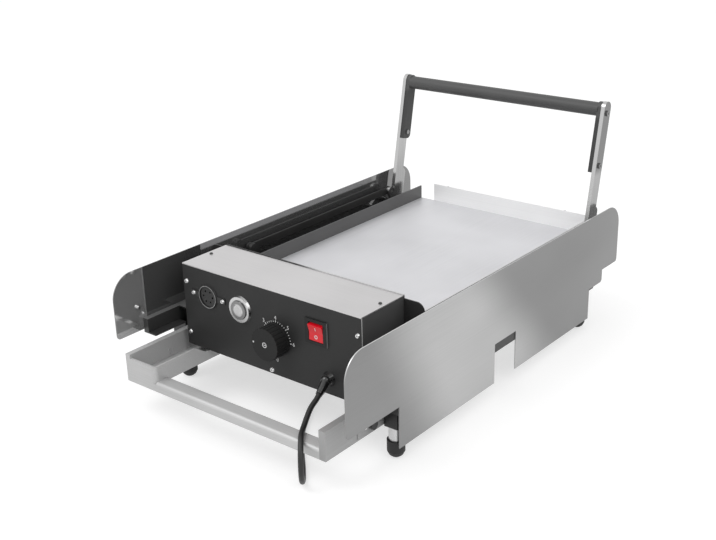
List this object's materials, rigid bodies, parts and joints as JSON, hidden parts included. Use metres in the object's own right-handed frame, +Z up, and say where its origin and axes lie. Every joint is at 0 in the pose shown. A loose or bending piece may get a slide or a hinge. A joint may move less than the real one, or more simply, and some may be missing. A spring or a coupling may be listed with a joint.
{
  "type": "bun toaster",
  "caption": "Counter-top batch bun toaster: heated platen between steel side panels, black control box in front, rear bail handle that lifts the platen, tray frame and rubber feet.",
  "frame": {"origin": "middle of the footprint, on the floor under the rubber feet, measured without the cord", "axes": "+X to the right seen from the control panel, +Y to the back where the handle stands, +Z up"},
  "size_m": [0.43, 0.7435, 0.3672],
  "materials": {
    "panel_steel": "brushed sheet",
    "rail_black": "black powder coat",
    "plate_steel": "plain sheet",
    "tray_aluminium": "satin",
    "bolt_zinc": "bright zinc",
    "bush_dark": "matt",
    "sleeve_zinc": "zinc",
    "foot_rubber": "matt",
    "pin_steel": "turned",
    "clip_dark": "blackened",
    "box_black": "black satin paint",
    "lid_steel": "satin",
    "thermostat_plastic": "moulded",
    "switch_black": "moulded",
    "rocker_red": "translucent red",
    "button_chrome": "satin chrome",
    "buzzer_black": "moulded",
    "relay_plastic": "moulded",
    "white_plastic": "moulded, also the white marks",
    "cord_rubber": "matt",
    "contact_brass": "plain",
    "knob_black": "moulded",
    "platen_aluminium": "machined",
    "skirt_steel": "plain",
    "heater_steel": "heat tinted",
    "fence_dark": "dark grey",
    "fence_bright": "bright sheet",
    "link_steel": "blackened steel",
    "arm_steel": "polished flat bar",
    "grip_black": "moulded"
  },
  "bodies": {
    "base": {"side_panel_right": "panel_steel", "side_panel_left": "panel_steel", "inner_rail_right": "rail_black", "inner_rail_left": "rail_black", "front_cross_beam": "rail_black", "rear_cross_beam": "rail_black", "bun_plate": "plate_steel", "tray_channel": "tray_aluminium", "tray_rail": "tray_aluminium", "tray_bar": "tray_aluminium", "tray_bolts": "bolt_zinc", "bulkhead_screws": "bolt_zinc", "panel_screws": "bolt_zinc", "panel_studs": "bolt_zinc", "buzzer_screws": "bolt_zinc", "tray_bush": "bush_dark", "foot_sleeves": "sleeve_zinc", "leg_posts": "sleeve_zinc", "feet": "foot_rubber", "pivot_studs": "pin_steel", "guide_posts": "pin_steel", "pivot_clips": "clip_dark", "lid_screws": "clip_dark", "bulkhead": "box_black", "box_case": "box_black", "front_panel": "box_black", "lid": "lid_steel", "thermostat_body": "thermostat_plastic", "switch_housing": "switch_black", "button_bezel": "button_chrome", "buzzer": "buzzer_black", "relay": "relay_plastic", "terminal_block": "white_plastic", "cord_gland": "cord_rubber", "cord": "cord_rubber", "cord_coil": "cord_rubber", "plug": "cord_rubber", "plug_pins": "contact_brass"},
    "platen": {"platen_plate_top": "platen_aluminium", "platen_plate_bottom": "platen_aluminium", "platen_skirt": "skirt_steel", "heater_rods": "heater_steel", "fence_left": "fence_dark", "fence_right": "fence_dark", "fence_rear": "fence_bright", "lift_bar_right": "link_steel", "lift_bar_left": "link_steel", "guide_lugs": "skirt_steel"},
    "handle": {"handle_arm_right": "arm_steel", "handle_arm_left": "arm_steel", "grip": "grip_black", "grip_screws": "bolt_zinc", "handle_pins": "pin_steel"},
    "front_levers": {"front_lever_right": "link_steel", "front_lever_left": "link_steel"},
    "pull_rods": {"pull_rod_right": "link_steel", "pull_rod_left": "link_steel"},
    "knob": {"knob": "knob_black"},
    "rocker": {"rocker": "rocker_red"},
    "button": {"button_cap": "button_chrome"}
  },
  "joints": [
    {"name": "handle_swing", "type": "hinge", "parent": "base", "child": "handle", "pos_m": [0, 0.288, 0.143], "axis": [-1, 0, 0], "range_deg": [0, 70]},
    {"name": "platen_lift", "type": "slide", "parent": "base", "child": "platen", "axis": [0, 0, 1], "range_m": [0, 0.02869]},
    {"name": "lever_swing", "type": "hinge", "parent": "base", "child": "front_levers", "pos_m": [0, -0.07, 0.143], "axis": [-1, 0, 0], "range_deg": [0, 70]},
    {"name": "rod_swing", "type": "hinge", "parent": "handle", "child": "pull_rods", "pos_m": [0, 0.27366, 0.16348], "axis": [-1, 0, 0], "range_deg": [-70, 0]},
    {"name": "knob_turn", "type": "hinge", "parent": "base", "child": "knob", "pos_m": [0.01449, -0.2684, 0.129], "axis": [0, 1, 0], "range_deg": [-90, 180]},
    {"name": "rocker_tip", "type": "hinge", "parent": "base", "child": "rocker", "pos_m": [0.08946, -0.2524, 0.16], "axis": [-1, 0, 0], "range_deg": [0, 14]},
    {"name": "button_press", "type": "slide", "parent": "base", "child": "button", "axis": [0, 1, 0], "range_m": [0, 0.003], "stiffness_N_per_m": 300}
  ],
  "couplings": [
    {"joint": "platen_lift", "follows": "handle_swing", "m_per_rad": 0.023474},
    {"joint": "lever_swing", "follows": "handle_swing", "ratio": 1},
    {"joint": "rod_swing", "follows": "handle_swing", "ratio": -1}
  ]
}
